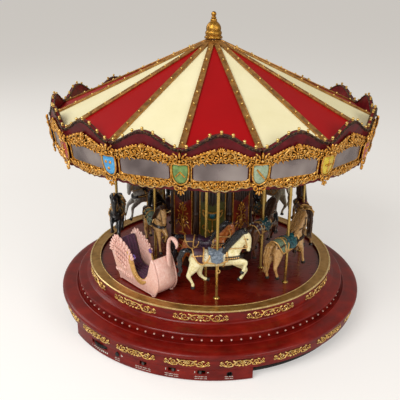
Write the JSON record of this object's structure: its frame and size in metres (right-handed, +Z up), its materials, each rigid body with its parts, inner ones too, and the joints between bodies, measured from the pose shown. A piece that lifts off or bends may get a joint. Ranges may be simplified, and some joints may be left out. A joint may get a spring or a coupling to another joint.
{
  "type": "carousel music box",
  "caption": "Table-top carousel on a round lit base: a turning deck with a sleigh and galloping horses on poles under a panelled canopy.",
  "frame": {"origin": "centre of the underside of the feet, on the surface that the base stands on", "axes": "+Z up along the spindle, -Y towards the controls and the viewer, +X to the viewer's right"},
  "size_m": [0.4468, 0.4468, 0.4207],
  "materials": {
    "mahogany_lacquer": "gloss lacquer",
    "ring_gold": "satin",
    "gilt": "antiqued gilt",
    "lamp_lens": "gloss",
    "dark_plastic": "matt",
    "switch_plastic": "satin",
    "foot_rubber": "matt",
    "bright_steel": "satin",
    "fibre_board": "solder mask",
    "bronze": "turned",
    "nylon": "moulded",
    "deck_wood": "gloss lacquer",
    "column_wood": "satin",
    "column_paint": "painted",
    "maroon_paint": "gloss paint",
    "roof_paint": "satin paint",
    "rib_bronze": "antiqued",
    "mirror_glass": "silvered",
    "shield_paint": "gloss paint",
    "pole_brass": "polished",
    "pink_resin": "satin paint",
    "seat_purple": "satin paint",
    "cream_horse": "satin paint",
    "tan_horse": "satin paint",
    "gold_horse": "satin paint",
    "silver_horse": "satin paint",
    "brown_horse": "satin paint",
    "grey_horse": "satin paint",
    "black_horse": "satin paint",
    "orange_horse": "satin paint",
    "chestnut_horse": "satin paint"
  },
  "bodies": {
    "base": {"drum_shell": "mahogany_lacquer", "plinth_skirt": "mahogany_lacquer", "gold_ring": "ring_gold", "gilt_scrolls": "gilt", "marquee_lights": "lamp_lens", "control_panel": "mahogany_lacquer", "base_tray": "dark_plastic", "rubber_feet": "foot_rubber", "base_screws": "bright_steel", "speaker": "dark_plastic", "circuit_board": "fibre_board", "power_socket": "dark_plastic", "bearing_plate": "bright_steel", "spindle_bush": "bronze", "wave_track": "nylon", "motor": "bright_steel"},
    "rotor": {"deck": "deck_wood", "spindle": "bright_steel", "drive_gear": "nylon", "column": "column_wood", "column_panels": "column_paint", "ceiling": "maroon_paint", "roof_panels": "roof_paint", "roof_ribs": "rib_bronze", "rounding_boards": "maroon_paint", "board_mirrors": "mirror_glass", "gilt_frames": "gilt", "corner_shields": "shield_paint", "shield_scrolls": "gilt", "crest_lights": "bronze", "finial": "bronze", "sleigh": "pink_resin", "sleigh_seat": "seat_purple"},
    "outer_1": {"outer_pole_1": "pole_brass", "outer_horse_1": "cream_horse"},
    "outer_2": {"outer_pole_2": "pole_brass", "outer_horse_2": "tan_horse"},
    "outer_3": {"outer_pole_3": "pole_brass", "outer_horse_3": "gold_horse"},
    "outer_4": {"outer_pole_4": "pole_brass", "outer_horse_4": "silver_horse"},
    "outer_5": {"outer_pole_5": "pole_brass", "outer_horse_5": "brown_horse"},
    "outer_6": {"outer_pole_6": "pole_brass", "outer_horse_6": "grey_horse"},
    "outer_7": {"outer_pole_7": "pole_brass", "outer_horse_7": "black_horse"},
    "inner_1": {"inner_horse_1": "orange_horse"},
    "inner_2": {"inner_horse_2": "brown_horse"},
    "inner_3": {"inner_horse_3": "chestnut_horse"},
    "inner_4": {"inner_horse_4": "cream_horse"},
    "inner_5": {"inner_horse_5": "black_horse"},
    "inner_6": {"inner_horse_6": "tan_horse"},
    "idler": {"idler_gear": "nylon"},
    "pinion": {"motor_pinion": "bronze"},
    "volume": {"volume_wheel": "dark_plastic"},
    "play": {"play_button": "dark_plastic"},
    "song": {"song_switch": "switch_plastic"},
    "light": {"light_switch": "switch_plastic"},
    "power": {"power_switch": "switch_plastic"}
  },
  "joints": [
    {"name": "carousel_spin", "type": "hinge", "parent": "base", "child": "rotor", "pos_m": [0, 0, 0.0485], "axis": [0, 0, 1], "continuous": true},
    {"name": "idler_spin", "type": "hinge", "parent": "base", "child": "idler", "pos_m": [-0.01847, 0.05074, 0.022], "axis": [0, 0, 1], "continuous": true},
    {"name": "pinion_spin", "type": "hinge", "parent": "base", "child": "pinion", "pos_m": [-0.04477, 0.04849, 0.022], "axis": [0, 0, 1], "continuous": true},
    {"name": "outer_lift_1", "type": "slide", "parent": "rotor", "child": "outer_1", "axis": [0, 0, 1], "range_m": [0, 0.01]},
    {"name": "outer_lift_2", "type": "slide", "parent": "rotor", "child": "outer_2", "axis": [0, 0, 1], "range_m": [0, 0.01]},
    {"name": "outer_lift_3", "type": "slide", "parent": "rotor", "child": "outer_3", "axis": [0, 0, 1], "range_m": [-0.01, 0]},
    {"name": "outer_lift_4", "type": "slide", "parent": "rotor", "child": "outer_4", "axis": [0, 0, 1], "range_m": [-0.01, 0]},
    {"name": "outer_lift_5", "type": "slide", "parent": "rotor", "child": "outer_5", "axis": [0, 0, 1], "range_m": [0, 0.01]},
    {"name": "outer_lift_6", "type": "slide", "parent": "rotor", "child": "outer_6", "axis": [0, 0, 1], "range_m": [0, 0.01]},
    {"name": "outer_lift_7", "type": "slide", "parent": "rotor", "child": "outer_7", "axis": [0, 0, 1], "range_m": [-0.01, 0]},
    {"name": "inner_lift_1", "type": "slide", "parent": "rotor", "child": "inner_1", "axis": [0, 0, 1], "range_m": [0, 0.01]},
    {"name": "inner_lift_2", "type": "slide", "parent": "rotor", "child": "inner_2", "axis": [0, 0, 1], "range_m": [-0.01, 0]},
    {"name": "inner_lift_3", "type": "slide", "parent": "rotor", "child": "inner_3", "axis": [0, 0, 1], "range_m": [0, 0.01]},
    {"name": "inner_lift_4", "type": "slide", "parent": "rotor", "child": "inner_4", "axis": [0, 0, 1], "range_m": [-0.01, 0]},
    {"name": "inner_lift_5", "type": "slide", "parent": "rotor", "child": "inner_5", "axis": [0, 0, 1], "range_m": [0, 0.01]},
    {"name": "inner_lift_6", "type": "slide", "parent": "rotor", "child": "inner_6", "axis": [0, 0, 1], "range_m": [-0.01, 0]},
    {"name": "volume_turn", "type": "hinge", "parent": "base", "child": "volume", "pos_m": [-0.13383, -0.14863, 0.0135], "axis": [0, 0, 1], "range_deg": [-135, 135]},
    {"name": "play_press", "type": "slide", "parent": "base", "child": "play", "axis": [0.5476, 0.8368, 0], "range_m": [0, 0.0015], "stiffness_N_per_m": 400},
    {"name": "song_slide", "type": "slide", "parent": "base", "child": "song", "axis": [0.9205, -0.3907, 0], "range_m": [-0.003, 0.003]},
    {"name": "light_slide", "type": "slide", "parent": "base", "child": "light", "axis": [0.9748, -0.2233, 0], "range_m": [-0.003, 0]},
    {"name": "power_slide", "type": "slide", "parent": "base", "child": "power", "axis": [0.9983, -0.0576, 0], "range_m": [0, 0.003]}
  ],
  "couplings": [
    {"joint": "idler_spin", "follows": "carousel_spin", "ratio": -5},
    {"joint": "pinion_spin", "follows": "carousel_spin", "ratio": 15},
    {"joint": "outer_lift_2", "follows": "outer_lift_1", "ratio": 1},
    {"joint": "outer_lift_3", "follows": "outer_lift_1", "ratio": -1},
    {"joint": "outer_lift_4", "follows": "outer_lift_1", "ratio": -1},
    {"joint": "outer_lift_5", "follows": "outer_lift_1", "ratio": 1},
    {"joint": "outer_lift_6", "follows": "outer_lift_1", "ratio": 1},
    {"joint": "outer_lift_7", "follows": "outer_lift_1", "ratio": -1},
    {"joint": "inner_lift_1", "follows": "outer_lift_1", "ratio": 1},
    {"joint": "inner_lift_2", "follows": "outer_lift_1", "ratio": -1},
    {"joint": "inner_lift_3", "follows": "outer_lift_1", "ratio": 1},
    {"joint": "inner_lift_4", "follows": "outer_lift_1", "ratio": -1},
    {"joint": "inner_lift_5", "follows": "outer_lift_1", "ratio": 1},
    {"joint": "inner_lift_6", "follows": "outer_lift_1", "ratio": -1}
  ]
}
